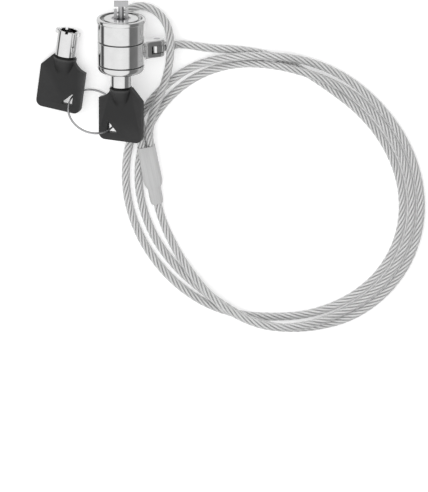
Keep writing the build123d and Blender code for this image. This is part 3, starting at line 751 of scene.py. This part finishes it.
def strand_outline(g, turn):
    """Where a point of the profile lies on the outline of a ring of strands."""
    strands, strand_radius = g.entry["Strands"], g.entry["Strand Radius"]
    share = g.math("SUBTRACT", g.math("FRACT", g.math("MULTIPLY", turn, strands)), 0.5)
    angle = g.math("DIVIDE", g.math("MULTIPLY", share, math.tau), strands)
    circle = g.math("SUBTRACT", g.entry["Radius"], strand_radius)
    side = g.math("POWER", g.math("MULTIPLY", circle, g.math("SINE", angle)), 2.0)
    bulge = g.math("MAXIMUM", g.math("SUBTRACT", g.math("POWER", strand_radius, 2.0), side), 0.0)
    radius = g.math("ADD", g.math("MULTIPLY", circle, g.math("COSINE", angle)), g.math("SQRT", bulge))
    heading = g.math("MULTIPLY", turn, math.tau)
    x = g.math("MULTIPLY", radius, g.math("COSINE", heading))
    y = g.math("MULTIPLY", radius, g.math("SINE", heading))
    return g.add("ShaderNodeCombineXYZ", {0: x, 1: y}).outputs[0]


def rope_tree(name, stranded):
    """Sweeps a profile along a line: a plain round one, or a ring of strands that turns with the lay."""
    inputs = [
        ("Line", GEOMETRY), ("Step", FLOAT, JACKET_STEP), ("Radius", FLOAT, ROPE_DIAMETER / 2),
        ("Points Around", WHOLE, 32), ("Material", MATERIAL),
    ]
    if stranded:
        inputs += [("Lay", FLOAT, ROPE_LAY), ("Strand Radius", FLOAT, STRAND_RADIUS), ("Strands", FLOAT, 6.0)]
    g = group_of("GeometryNodeTree", name, inputs, [("Mesh", GEOMETRY)])

    def named(geometry, title, value):
        stored = {"Geometry": geometry, "Name": title, "Value": value}
        return g.add("GeometryNodeStoreNamedAttribute", stored).outputs[0]

    curve = g.add("GeometryNodeMeshToCurve", {"Mesh": g.entry["Line"]}).outputs[0]
    spaced = {"Curve": curve, "Length": g.entry["Step"]}
    curve = g.add("GeometryNodeResampleCurve", spaced, mode="LENGTH").outputs[0]
    length = g.add("GeometryNodeSplineParameter").outputs["Length"]
    curve = named(curve, "rope_length", length)
    around = g.entry["Points Around"]
    circle = {"Resolution": around, "Radius": g.entry["Radius"]}
    profile = g.add("GeometryNodeCurvePrimitiveCircle", circle).outputs[0]
    turn = g.math("DIVIDE", g.add("GeometryNodeInputIndex").outputs[0], around)
    if stranded:
        tilt = g.math("MULTIPLY", g.math("DIVIDE", length, g.entry["Lay"]), math.tau)
        curve = g.add("GeometryNodeSetCurveTilt", {"Curve": curve, "Tilt": tilt}).outputs[0]
        place = strand_outline(g, turn)
        profile = g.add("GeometryNodeSetPosition", {"Geometry": profile, "Position": place}).outputs[0]
    profile = named(profile, "strand_turn", turn)
    swept = {"Curve": curve, "Profile Curve": profile, "Fill Caps": True}
    mesh = g.add("GeometryNodeCurveToMesh", swept).outputs[0]
    mesh = g.add("GeometryNodeSetShadeSmooth", {0: mesh}).outputs[0]
    mesh = g.add("GeometryNodeRealizeInstances", {"Geometry": mesh}).outputs[0]
    mesh = g.add("GeometryNodeSetMaterial", {"Geometry": mesh, "Material": g.entry["Material"]}).outputs[0]
    g.feed(g.exit["Mesh"], mesh)
    return g


def make_rope():
    """The strands and their jacket; gives both, with the rope's path and length."""
    line = rope_spline()
    path = [tuple(v.co) for v in line.vertices]
    length = sum((Vector(b) - Vector(a)).length for a, b in zip(path, path[1:]))
    strands = along_line("rope_strands", line, rope_tree("rope_lay", True), {
        "Step": STRAND_STEP, "Lay": ROPE_LAY, "Radius": STRAND_CIRCLE + STRAND_RADIUS,
        "Strand Radius": STRAND_RADIUS, "Strands": float(STRANDS), "Points Around": 8 * STRANDS,
        "Material": STRAND,
    })
    jacket = along_line("rope_jacket", line, rope_tree("rope_cover", False), {
        "Step": JACKET_STEP, "Radius": ROPE_DIAMETER / 2, "Points Around": 32, "Material": JACKET,
    })
    show(strands, "cable", STRAND, "jacketed_rope")
    show(jacket, "cable", JACKET, "jacketed_rope", "cable_lead", "cable_coil", "cable_tail", "cable_eye")
    return jacket, strands, path, length


# ---------------------------------------------------------------- ferrule and sleeve
SLEEVE_SECTIONS = (  # millimetres: depth behind the mouth, width, height; then how far the ropes show
    (0.0, 8.35, 5.15, 0.30), (0.4, 8.3, 5.1, 0.30), (3.0, 8.35, 5.1, 0.28), (8.0, 8.5, 5.15, 0.22),
    (13.0, 8.7, 5.2, 0.15), (16.5, 8.8, 5.2, 0.10), (18.3, 8.65, 5.15, 0.05), (19.5, 8.1, 5.0, 0.0),
    (20.4, 7.2, 4.8, 0.0), (21.2, 6.3, 4.65, 0.0), (21.9, 5.9, 4.6, 0.0), (22.6, 6.0, 4.7, 0.0),
    (24.5, 6.15, 4.85, 0.0), (27.0, 6.1, 4.85, 0.0), (28.6, 5.7, 4.75, 0.0), (29.2, 5.2, 4.6, 0.0),
)


def sleeve_section(depth, width, height, waist):
    """A section of the sleeve, drawn in at its middle where it is shrunk between the two ropes."""
    centre = SLEEVE_MOUTH - SLEEVE_OUT * depth
    across, up = Vector((1, 0, 0)), Vector((0, 1, 0))
    points = []
    for p in oval(Vector(), across, up, width, height, SLEEVE_SQUARENESS, 64):
        drawn = 1 - waist * math.exp(-((p.x / (0.22 * width)) ** 2)) * 0.5
        points.append(centre + SLEEVE_ACROSS * p.x + SLEEVE_UP * p.y * drawn)
    return points


def shrink_sleeve():
    sections = [sleeve_section(d / 1000, w / 1000, h / 1000, waist) for d, w, h, waist in SLEEVE_SECTIONS]
    sleeve = lofted("shrink_sleeve_skin", sections, capped=False)
    wall = sleeve.modifiers.new("wall", "SOLIDIFY")
    wall.thickness = SLEEVE_WALL
    wall.offset = -1
    smooth = sleeve.modifiers.new("smooth", "SUBSURF")
    smooth.levels = smooth.render_levels = 1
    plain_mesh(sleeve)
    along = sleeve.data.attributes.new("along", "FLOAT", "POINT")
    around = sleeve.data.attributes.new("around", "FLOAT", "POINT")
    for i, vertex in enumerate(sleeve.data.vertices):
        local = vertex.co - SLEEVE_MOUTH
        along.data[i].value = -local.dot(SLEEVE_OUT)
        around.data[i].value = abs(math.atan2(local.dot(SLEEVE_UP), local.dot(SLEEVE_ACROSS)))
    sleeve.data.shade_smooth()
    return show(sleeve, "cable", SLEEVE, "grey_sleeve", "shrink_sleeve")


def crimp_ferrule():
    """The pressed tube round both ropes, with shallow crimps along it."""
    sections = []
    for share in [k / 40 for k in range(41)]:
        depth = FERRULE_INSET + (FERRULE_LENGTH - FERRULE_INSET) * share
        end = min(share, 1 - share) * FERRULE_LENGTH
        shrink = 1 - 0.1 * max(0, 1 - end / FERRULE_ROUNDING) ** 2
        crimp = 1 - 0.03 * (0.5 - 0.5 * math.cos(math.tau * share * FERRULE_CRIMPS))
        centre = SLEEVE_MOUTH - SLEEVE_OUT * depth
        width, height = FERRULE_WIDTH * shrink, FERRULE_DEPTH * shrink * crimp
        sections.append(oval(centre, SLEEVE_ACROSS, SLEEVE_UP, width, height, SLEEVE_SQUARENESS))
    ferrule = soften(lofted("crimp_ferrule_oval", sections), angle=40)
    return show(ferrule, "cable", FERRULE, "ferrule", "crimp_ferrule")


# ---------------------------------------------------------------- lock head
def front_shell():
    """The front half of the body: a lip, the recess of the face and the web behind it."""
    shell = turned("front_shell_turned", (
        (0, RECESS_RADIUS, 0.00025), (0, LIP_RADIUS, 0.00075), (LIP_LENGTH, LIP_RADIUS, 0.00035),
        (LIP_LENGTH + LIP_SLOPE, BODY_RADIUS, 0.0001), (SHELL_REAR, BODY_RADIUS, 0.0003),
        (SHELL_REAR, BARREL_RADIUS, 0.0001), (WEB_REAR, BARREL_RADIUS, 0.0001),
        (WEB_REAR, WEB_BORE, 0.0001), (WEB_FRONT, WEB_BORE, 0.0001), (WEB_FRONT, RECESS_RADIUS, 0.0003),
    ), segments=FINE_TURN)
    return show(soften(shell), "lock_head", CHROME, "chrome", "front_shell")


def face_plate():
    plate = turned("face_plate_turned", (
        (FACE_PLATE_FRONT, GUARD_RADIUS, 0.00015), (FACE_PLATE_FRONT, FACE_PLATE_RADIUS, 0.0004),
        (WEB_FRONT, FACE_PLATE_RADIUS, 0), (WEB_FRONT, GUARD_RADIUS, 0),
    ))
    return show(soften(plate), "lock_head", CHROME, "chrome", "face_plate")


def arm_section(distance, width, depth):
    centre = slanted(distance, ARM_DROP) + Vector((0, -ARM_STATION, 0))
    up = Vector((math.sin(ARM_DROP), 0, math.cos(ARM_DROP)))
    return oval(centre, Vector((0, 1, 0)), up, width, depth, ARM_SQUARENESS, 64)


def swivel_ring():
    """The ring and its arm, which flares out of the ring and ends in a round fork."""
    bore_radius = BARREL_RADIUS + RUNNING_GAP
    ring = turned("swivel_ring_forged", (
        (RING_FRONT, bore_radius, 0.0001), (RING_FRONT, BODY_RADIUS, 0.0003),
        (RING_REAR, BODY_RADIUS, 0.0003), (RING_REAR, bore_radius, 0.0001),
    ), segments=FINE_TURN)
    start, root_width, root_depth = ARM_ROOT
    sections = []
    for share in [k / 14 for k in range(15)]:
        flare = (1 - share) ** ARM_FLARE_CURVE
        sections.append(arm_section(
            start + (ARM_FLARE_END - start) * share,
            ARM_WIDTH + (root_width - ARM_WIDTH) * flare,
            ARM_DEPTH + (root_depth - ARM_DEPTH) * flare,
        ))
    for turn in [math.radians(9 * k) for k in range(10)]:
        reach = ARM_REACH + ARM_DEPTH / 2 * math.sin(turn)
        sections.append(arm_section(reach, ARM_WIDTH, ARM_DEPTH * math.cos(turn)))
    combine(ring, [lofted("arm", sections)], "UNION")
    out, up = slanted(1, ARM_DROP), Vector((math.sin(ARM_DROP), 0, math.cos(ARM_DROP)))
    corners = ((-1, -1), (1, -1), (1, 1), (-1, 1))
    slot_sections = []
    for distance in (FORK_FLOOR, ARM_REACH + ARM_DEPTH):
        centre = out * distance + Vector((0, -ARM_STATION, 0))
        half = Vector((0, FORK_SLOT / 2, 0))
        slot_sections.append([centre + half * a + up * b * ARM_DEPTH for a, b in corners])
    slot = lofted("slot", slot_sections)
    reach = Vector((0, ARM_WIDTH, 0))
    hole = cylinder("hole", HINGE_PIN_RADIUS + RUNNING_GAP, HINGE - reach, HINGE + reach)
    front, rear = (0, CUT_PAST - RING_FRONT, 0), (0, -RING_REAR - CUT_PAST, 0)
    bore = cylinder("bore", bore_radius, front, rear, FINE_TURN)
    combine(ring, [slot, hole, bore], "DIFFERENCE")
    return show(soften(ring, angle=32), "arm", CHROME, "chrome", "swivel_ring")


def cable_terminal():
    """The rope's end fitting: a tongue in the fork, a neck and a crimped socket."""
    along, side = slanted(1, TERMINAL_DROP), Vector((0, 1, 0))
    up = Vector((math.sin(TERMINAL_DROP), 0, math.cos(TERMINAL_DROP)))

    def bar(name, rows, power):
        return lofted(name, [oval(HINGE + along * d, side, up, w, h, power, 64) for d, w, h in rows])

    def nose(start, reach, tip):
        """Rows of one rounded end of the tongue, from its full depth to its tip."""
        rows = []
        for turn in [math.radians(6 * k) for k in range(16)]:
            depth = TONGUE_DEPTH * max(math.cos(turn) ** 0.6, tip)
            rows.append((start + reach * math.sin(turn), TONGUE_WIDTH, depth))
        return rows

    tongue = bar("cable_terminal_forged", nose(*TONGUE_BACK)[::-1] + nose(*TONGUE_FRONT), 14.0)
    neck = bar("neck", [(d, TONGUE_WIDTH, TERMINAL_NECK_DEPTH) for d in TERMINAL_NECK], 8.0)
    ribs = [(TERMINAL_START + d, 2 * TERMINAL_RADIUS * share) for d, share in TERMINAL_RIBS]
    socket = bar("socket", [(d, width, width) for d, width in ribs], 2.0)
    combine(tongue, [neck, socket], "UNION")
    reach = Vector((0, ARM_WIDTH, 0))
    hole = cylinder("hole", HINGE_PIN_RADIUS + RUNNING_GAP, HINGE - reach, HINGE + reach)
    combine(tongue, [hole], "DIFFERENCE")
    return show(soften(tongue, angle=32), "cable", CHROME, "chrome", "cable_terminal")


def rear_cap():
    """The domed rear end, with the keyway for the tube and its two lugs."""
    keyway = TUBE_RADIUS + KEY_SLACK
    cap = turned("rear_cap_turned", (
        (CAP_FRONT, CAP_BORE, 0.0001), (CAP_FRONT, BODY_RADIUS, 0.0003),
        (CAP_REAR, BODY_RADIUS, CAP_ROUNDING), (CAP_REAR, keyway, 0.0002),
        (CAP_REAR - CAP_WALL, keyway, 0.0001), (CAP_REAR - CAP_WALL, CAP_BORE, 0.0001),
    ), segments=FINE_TURN, steps=9)
    roll = Matrix.Rotation(-KEY_ROLL, 4, "Y")
    half = LUG_WIDTH / 2 + KEY_SLACK
    slots = []
    for side, reach in zip((1, -1), LUG_REACH):
        low, high = sorted((0.0, side * (TUBE_RADIUS + reach + KEY_SLACK)))
        slot = brick("lug_slot", (low, -CAP_REAR - CUT_PAST, -half), (high, LUG_SLOT_DEPTH - CAP_REAR, half))
        slots.append(placed(slot, roll))
    combine(cap, slots, "DIFFERENCE")
    return show(soften(cap), "lock_head", CHROME, "chrome", "rear_cap")


# ---------------------------------------------------------------- keys
def key_tube(name):
    """The tube in the key's own frame, with its base at the origin and its rim towards +Y."""
    tube = turned(name, (
        (0, 0, 0), (-TUBE_FLOOR, 0, 0), (-TUBE_FLOOR, TUBE_BORE, 0.0003),
        (-TUBE_LENGTH, TUBE_BORE, 0.00015), (-TUBE_LENGTH, TUBE_RADIUS, 0.0003),
        (-TUBE_CHAMFER, TUBE_RADIUS, 0.0001), (0, TUBE_RADIUS - TUBE_CHAMFER, 0),
    ), segments=112)
    lugs = []
    inner, half = (TUBE_RADIUS + TUBE_BORE) / 2, LUG_WIDTH / 2
    for side, reach in zip((1, -1), LUG_REACH):
        low, high = sorted((side * inner, side * (TUBE_RADIUS + reach)))
        lug = brick("lug", (low, TUBE_LENGTH - LUG_LENGTH, -half), (high, TUBE_LENGTH - LUG_INSET, half))
        lugs.append(soften(lug, 0.0002, 2))
    combine(tube, lugs, "UNION")
    notches = []
    for index, cut in enumerate(KEY_CUTS):
        turn = math.radians(FIRST_PIN_ANGLE + index * 360 / len(KEY_CUTS)) - KEY_ROLL
        x, z = PIN_CIRCLE * math.cos(turn), PIN_CIRCLE * math.sin(turn)
        low, high = (x, TUBE_LENGTH - cut, z), (x, TUBE_LENGTH + CUT_PAST, z)
        notches.append(cylinder("notch", PIN_NOTCH, low, high, 24))
    combine(tube, notches, "DIFFERENCE")
    return soften(tube, angle=32)


def arc(start, middle, end, steps=10):
    """Points of the arc through three points, without its ends."""
    a, b, c = (Vector(p) for p in (start, middle, end))
    d = 2 * (a.x * (b.y - c.y) + b.x * (c.y - a.y) + c.x * (a.y - b.y))
    x = (a.length_squared * (b.y - c.y) + b.length_squared * (c.y - a.y) + c.length_squared * (a.y - b.y)) / d
    y = (a.length_squared * (c.x - b.x) + b.length_squared * (a.x - c.x) + c.length_squared * (b.x - a.x)) / d
    centre = Vector((x, y))
    first = math.atan2(a.y - y, a.x - x)
    sweep = math.remainder(math.atan2(c.y - y, c.x - x) - first, math.tau)
    radius = (a - centre).length
    turns = [first + sweep * k / steps for k in range(1, steps)]
    return [centre + radius * Vector((math.cos(t), math.sin(t))) for t in turns]


def bow_plate(name):
    """The flat part of the bow, with its hollow left shoulder and the hole for the ring."""
    hollow_end = (-BOW_HALF_WIDTH, -BOW_SHOULDER)
    lower = rounded((
        (BOW_NECK, 0, 0.0003), (BOW_HALF_WIDTH, -BOW_SHOULDER, 0.0005),
        (BOW_HALF_WIDTH, -BOW_LENGTH, BOW_CORNER), (-BOW_HALF_WIDTH, -BOW_LENGTH, BOW_CORNER),
        (*hollow_end, 0), (-NECK_LEFT, 0, 0),
    ), 8)
    neck_left = lower.pop()
    outline = [*lower, *arc(hollow_end, HOLLOW_MIDDLE, HOLLOW_START), Vector(HOLLOW_START), neck_left]
    plate = prism(name, outline, -BOW_THICKNESS / 2, BOW_THICKNESS / 2)
    combine(plate, [prism("hole", rounded(RING_HOLE, 4), -BOW_THICKNESS, BOW_THICKNESS)], "DIFFERENCE")
    return soften(plate, BOW_EDGE, 4, 40)


def bow_neck():
    """The round neck, which runs out in the plate."""
    across, up = Vector((1, 0, 0)), Vector((0, 0, 1))
    drawn_in, length = NECK_EDGE
    edge = 2 * (BOW_NECK - drawn_in)
    sections = [oval(Vector((0, length - NECK_GROOVE, 0)), across, up, edge, edge)]
    end_width, end_depth = (BOW_THICKNESS * share for share in NECK_END)
    for share in [k / 16 for k in range(17)]:
        blend = share * share * (3 - 2 * share)
        y = -NECK_GROOVE - (NECK_BLEND - NECK_GROOVE) * share
        width = 2 * BOW_NECK + (end_width - 2 * BOW_NECK) * blend * NECK_TAPER
        depth = 2 * BOW_NECK + (end_depth - 2 * BOW_NECK) * blend
        sections.append(oval(Vector((0, y, 0)), across, up, width, depth))
    return lofted("neck", sections)


def key_bow(name):
    """The moulded bow in the key's own frame: a plate and a neck, with shade painted near black in the groove
    at the tube.
    """
    plate = bow_plate(name)
    collar = cylinder("collar", NECK_COLLAR, (0, 0, 0), (0, -2 * NECK_GROOVE, 0), 96)
    combine(plate, [bow_neck(), collar], "UNION")
    soften(plate, angle=30)
    # painted shade: marks the groove's vertices, which the bow's material paints near black
    groove_painted_shade = plate.data.attributes.new("groove_painted_shade", "FLOAT", "POINT")
    back, height = SHADED_GROOVE
    for i, vertex in enumerate(plate.data.vertices):
        near_axis = math.hypot(vertex.co.x, vertex.co.z) < NECK_COLLAR * 1.02
        groove_painted_shade.data[i].value = 1.0 if near_axis and vertex.co.y > -back and abs(vertex.co.z) > height else 0.0
    return plate


def make_keys():
    """One key in the lock and a copy of it lying beside the head."""
    base = -(CAP_REAR + TUBE_LENGTH - KEY_INSERTION)
    in_lock = Matrix.Translation((0, base, 0)) @ Matrix.Rotation(-KEY_ROLL, 4, "Y")
    on_table = (
        Matrix.Translation((*SPARE_COLLAR, FLOOR + BOW_NECK))
        @ Matrix.Rotation(-SPARE_LEAN, 4, "Z")
        @ Matrix.Rotation(-SPARE_ROLL, 4, "Y")
        @ Matrix.Rotation(math.pi, 4, "Y")
    )
    tube, bow = key_tube("key_tube_turned"), key_bow("key_bow_moulded")
    spare_tube, spare_bow = copied(tube, "spare_key_tube_turned"), copied(bow, "spare_key_bow_moulded")
    for piece, place, body, material, slot, node in (
        (tube, in_lock, "key", CHROME, "chrome", "key_tube"),
        (bow, in_lock, "key", BOW_PLASTIC, "black_plastic", "key_bow"),
        (spare_tube, on_table, "spare_key", CHROME, "chrome", "spare_key_tube"),
        (spare_bow, on_table, "spare_key", BOW_PLASTIC, "black_plastic", "spare_key_bow"),
    ):
        show(placed(piece, place), body, material, slot, node)


def key_ring():
    """Two turns of flat wire, which step over each other in a short stretch."""
    wire, thick = KEY_RING_WIRE
    crossing, span = KEY_RING_CROSSING
    up = Vector((0, 0, 1))
    sections = []
    for k in range(KEY_RING_STEPS + 1):
        turn = 2 * math.tau * k / KEY_RING_STEPS
        share = min(max((turn - crossing) / span, 0), 1)
        level = (share * share * (3 - 2 * share) - 0.5) * (thick + KEY_RING_GAP)
        out = Vector((math.cos(turn), math.sin(turn), 0))
        sections.append(oval(out * KEY_RING_RADIUS + up * level, out, up, wire, thick, 3.0, 16))
    ring = soften(lofted("split_ring_wound", sections), angle=50)
    tilt = Matrix.Rotation(-KEY_RING_TILT, 4, "X") @ Matrix.Rotation(-KEY_RING_LEAN, 4, "Y")
    placed(ring, Matrix.Translation(KEY_RING_CENTRE) @ tilt)
    return show(ring, "ring", SPRING_WIRE, "steel", "split_ring")


# ---------------------------------------------------------------- build the object
jacket, strands, rope_path, rope_length = make_rope()
sleeve, ferrule = shrink_sleeve(), crimp_ferrule()
front_shell()
face_plate()
swivel_ring()
cable_terminal()
rear_cap()
make_keys()
key_ring()
for node, body, material, slot, width in (
    ("guard_collar", "lock_head", STEEL, "steel", 0.0003),
    ("spindle", "plug", STEEL, "steel", 0.0004),
    ("hinge_pin", "arm", STEEL, "steel", 0.0002),
):
    show(cad_copy(node, f"{node}_finished", width), body, material, slot, node)
for material, nodes in (
    (STEEL, ("lock_barrel", "block_pin", "cap_dowels", "thrust_washer", "retaining_clip")),
    (STEEL, ("rotor", "drive_pin")),
    (SPRING_WIRE, ("pin_springs",)),
    (BRASS, ("pin_block", "key_pins", "driver_pins")),
    (NYLON, ("swivel_washers",)),
):
    for node in nodes:
        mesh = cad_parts[node].data
        mesh.materials.clear()
        mesh.materials.append(material)


# ---------------------------------------------------------------- floor, light and camera
FLOOR_SIZE = 3
CAMERA_TARGET = Vector((0.0425, -0.1142, FLOOR))
CAMERA_TILT = math.radians(17)  # from straight down
CAMERA_LENS = 1500  # millimetres: a long lens from far away, so that nothing is foreshortened
VIEW_WIDTH = 0.2263
REFLECTED_ROOM = (  # degrees round the lock axis, grey
    (-180, 0.80), (-120, 0.72), (-112, 0.10), (-97, 0.08), (-90, 0.90), (0, 0.97), (36, 0.9), (44, 0.16),
    (84, 0.20), (96, 0.45), (124, 0.5), (130, 0.12), (134, 0.75), (180, 0.85),
)


def make_floor():
    """A pale floor, which reflections don't show."""
    shape = bmesh.new()
    bmesh.ops.create_grid(shape, x_segments=1, y_segments=1, size=FLOOR_SIZE)
    floor = from_bmesh("floor", shape)
    floor.data.transform(Matrix.Translation((0, 0, FLOOR)))
    material, g, sockets = surface("pale_floor", (0.9, 0.9, 0.9), 0.9, Emission_Strength=0.3)
    sockets["Emission Color"].default_value = (1, 1, 1, 1)
    tone = g.add("ShaderNodeTexNoise", {"Scale": 6.0}).outputs[0]
    g.feed(sockets["Base Color"], g.ramp(tone, ((0.3, 0.88), (0.7, 0.92))))
    floor.data.materials.append(material)
    floor.visible_glossy = False


def make_world():
    """An even white room; in reflections it shows soft boxes and dark flags round the lock axis."""
    world = bpy.data.worlds.new("studio")
    bpy.context.scene.world = world
    world.use_nodes = True
    g = Graph(world.node_tree)
    world.node_tree.nodes.clear()
    way = g.add("ShaderNodeSeparateXYZ", {"Vector": g.add("ShaderNodeTexCoord").outputs["Generated"]}).outputs
    round_axis = g.math("ARCTAN2", way[0], way[2])
    share = g.math("ADD", g.math("DIVIDE", round_axis, math.tau), 0.5)
    reflected = g.ramp(share, [(angle / 360 + 0.5, grey) for angle, grey in REFLECTED_ROOM])
    lit = g.add("ShaderNodeBackground", {"Color": (1, 1, 1, 1), "Strength": 0.75}).outputs[0]
    seen = g.add("ShaderNodeBackground", {"Color": reflected, "Strength": 1.0}).outputs[0]
    glossy = g.add("ShaderNodeLightPath").outputs["Is Glossy Ray"]
    mixed = g.add("ShaderNodeMixShader", {0: glossy, 1: lit, 2: seen}).outputs[0]
    g.add("ShaderNodeOutputWorld", {"Surface": mixed})


def area_light(name, place, target, size, power):
    lamp = bpy.data.lights.new(name, "AREA")
    lamp.shape = "SQUARE"
    lamp.size = size
    lamp.energy = power
    light = bpy.data.objects.new(name, lamp)
    bpy.context.scene.collection.objects.link(light)
    light.location = place
    light.rotation_euler = (Vector(target) - Vector(place)).to_track_quat("-Z", "Y").to_euler()
    light.visible_glossy = False


def make_camera():
    back = Vector((0, math.sin(CAMERA_TILT), math.cos(CAMERA_TILT)))
    lens = bpy.data.cameras.new("camera")
    lens.lens = CAMERA_LENS
    lens.clip_start = 1
    lens.clip_end = 20
    camera = bpy.data.objects.new("camera", lens)
    bpy.context.scene.collection.objects.link(camera)
    camera.location = CAMERA_TARGET + back * VIEW_WIDTH * lens.lens / lens.sensor_width
    camera.rotation_euler = (-CAMERA_TILT, 0, 0)
    bpy.context.scene.camera = camera


make_floor()
make_world()
area_light("overhead", (-0.15, 0.1, 0.75), (0.05, -0.08, 0), 0.6, 2.6)
make_camera()
bpy.context.scene.view_settings.view_transform = "Standard"
